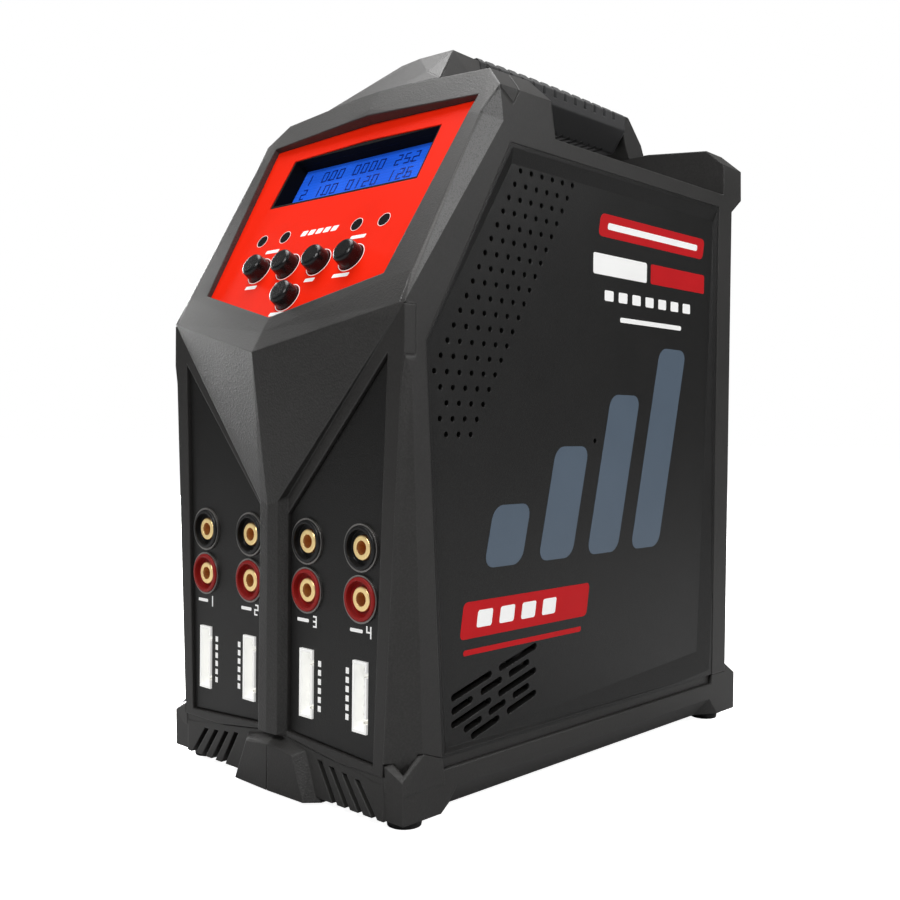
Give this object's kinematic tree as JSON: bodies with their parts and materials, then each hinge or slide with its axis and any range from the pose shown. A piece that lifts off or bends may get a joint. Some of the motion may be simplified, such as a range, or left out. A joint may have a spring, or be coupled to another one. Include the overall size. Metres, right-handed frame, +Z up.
{
  "type": "balance battery charger",
  "caption": "Upright bench battery charger with carrying handle, tilted control panel, plug sockets, balance ports and rear fans; buttons press, fans spin and the power rocker tilts.",
  "frame": {"origin": "on the table under the middle of the charger (middle of the bounding box, bottom plane)", "axes": "+X to the right of someone facing the control panel, +Y backwards towards the fans, +Z up"},
  "size_m": [0.1084, 0.188, 0.2359],
  "materials": {
    "case_plastic": "charcoal moulded plastic with a fine spark texture",
    "cover_plastic": "near-black satin plastic, very fine grain",
    "panel_red": "bright red panel with a satin clear coat",
    "lcd_frame": "black moulded frame",
    "lcd_blue": "blue backlit display glass",
    "led_lens": "clear moulded lamp lens",
    "button_black": "black moulded key cap",
    "rubber_black": "black moulded rubber",
    "contact_gold": "gold-plated turned brass",
    "pin_metal": "tin-plated drawn pin",
    "ring_silver": "thin bright ring",
    "port_white": "natural white nylon",
    "insulator_black": "black moulded insulator",
    "insulator_red": "red moulded insulator",
    "rear_metal": "black powder coat on folded sheet",
    "guard_wire": "plated welded wire",
    "screw_steel": "dark plated screw",
    "fan_plastic": "black glass-filled plastic",
    "connector_black": "black moulded connector body",
    "connector_yellow": "yellow moulded connector body",
    "rocker_red": "red moulded rocker",
    "board_green": "green solder mask",
    "heatsink_metal": "extruded aluminium",
    "bracket_metal": "folded plated steel",
    "capacitor_sleeve": "shrink sleeve",
    "transformer_tape": "wound core under yellow tape"
  },
  "bodies": {
    "case": {"ac_inlet": "connector_black", "ac_pins": "pin_metal", "balance_pins": "pin_metal", "balance_port_1": "port_white", "balance_port_2": "port_white", "balance_port_3": "port_white", "balance_port_4": "port_white", "base": "case_plastic", "board_brackets": "bracket_metal", "capacitors": "capacitor_sleeve", "contacts_1": "contact_gold", "contacts_2": "contact_gold", "contacts_3": "contact_gold", "contacts_4": "contact_gold", "control_board": "board_green", "control_panel": "panel_red", "dc_contacts": "contact_gold", "dc_socket": "connector_yellow", "fan_frame_1": "fan_plastic", "fan_frame_2": "fan_plastic", "fan_guards": "guard_wire", "feet": "rubber_black", "front_frame": "case_plastic", "handle_core": "case_plastic", "handle_grip": "rubber_black", "heatsink": "heatsink_metal", "insert_left": "cover_plastic", "insert_right": "cover_plastic", "insulator_black_1": "insulator_black", "insulator_black_2": "insulator_black", "insulator_black_3": "insulator_black", "insulator_black_4": "insulator_black", "insulator_red_1": "insulator_red", "insulator_red_2": "insulator_red", "insulator_red_3": "insulator_red", "insulator_red_4": "insulator_red", "lcd_bezel": "lcd_frame", "lcd_board": "board_green", "lcd_glass": "lcd_blue", "leds": "led_lens", "output_board": "board_green", "power_board": "board_green", "rear_panel": "rear_metal", "rear_screws": "screw_steel", "rocker_housing": "connector_black", "shell_left": "case_plastic", "shell_right": "case_plastic", "side_cover_left": "cover_plastic", "side_cover_right": "cover_plastic", "socket_rings": "ring_silver", "tact_switches": "connector_black", "transformers": "transformer_tape"},
    "button_1": {"button_1": "button_black"},
    "button_2": {"button_2": "button_black"},
    "button_3": {"button_3": "button_black"},
    "button_4": {"button_4": "button_black"},
    "button_5": {"button_5": "button_black"},
    "fan_rotor_1": {"fan_rotor_1": "fan_plastic"},
    "fan_rotor_2": {"fan_rotor_2": "fan_plastic"},
    "power_rocker": {"power_rocker": "rocker_red"}
  },
  "joints": [
    {"name": "button_1_press", "type": "slide", "parent": "case", "child": "button_1", "axis": [0, 0.8616, -0.5075], "range_m": [0, 0.0008], "stiffness_N_per_m": 1500},
    {"name": "button_2_press", "type": "slide", "parent": "case", "child": "button_2", "axis": [0, 0.8616, -0.5075], "range_m": [0, 0.0008], "stiffness_N_per_m": 1500},
    {"name": "button_3_press", "type": "slide", "parent": "case", "child": "button_3", "axis": [0, 0.8616, -0.5075], "range_m": [0, 0.0008], "stiffness_N_per_m": 1500},
    {"name": "button_4_press", "type": "slide", "parent": "case", "child": "button_4", "axis": [0, 0.8616, -0.5075], "range_m": [0, 0.0008], "stiffness_N_per_m": 1500},
    {"name": "button_5_press", "type": "slide", "parent": "case", "child": "button_5", "axis": [0, 0.8616, -0.5075], "range_m": [0, 0.0008], "stiffness_N_per_m": 1500},
    {"name": "fan_1_spin", "type": "hinge", "parent": "case", "child": "fan_rotor_1", "pos_m": [0, 0.07755, 0.153], "axis": [0, 1, 0], "continuous": true},
    {"name": "fan_2_spin", "type": "hinge", "parent": "case", "child": "fan_rotor_2", "pos_m": [0, 0.07755, 0.087], "axis": [0, 1, 0], "continuous": true},
    {"name": "power_rocker_tilt", "type": "hinge", "parent": "case", "child": "power_rocker", "pos_m": [-0.002, 0.08295, 0.037], "axis": [1, 0, 0], "range_deg": [0, 18]}
  ]
}
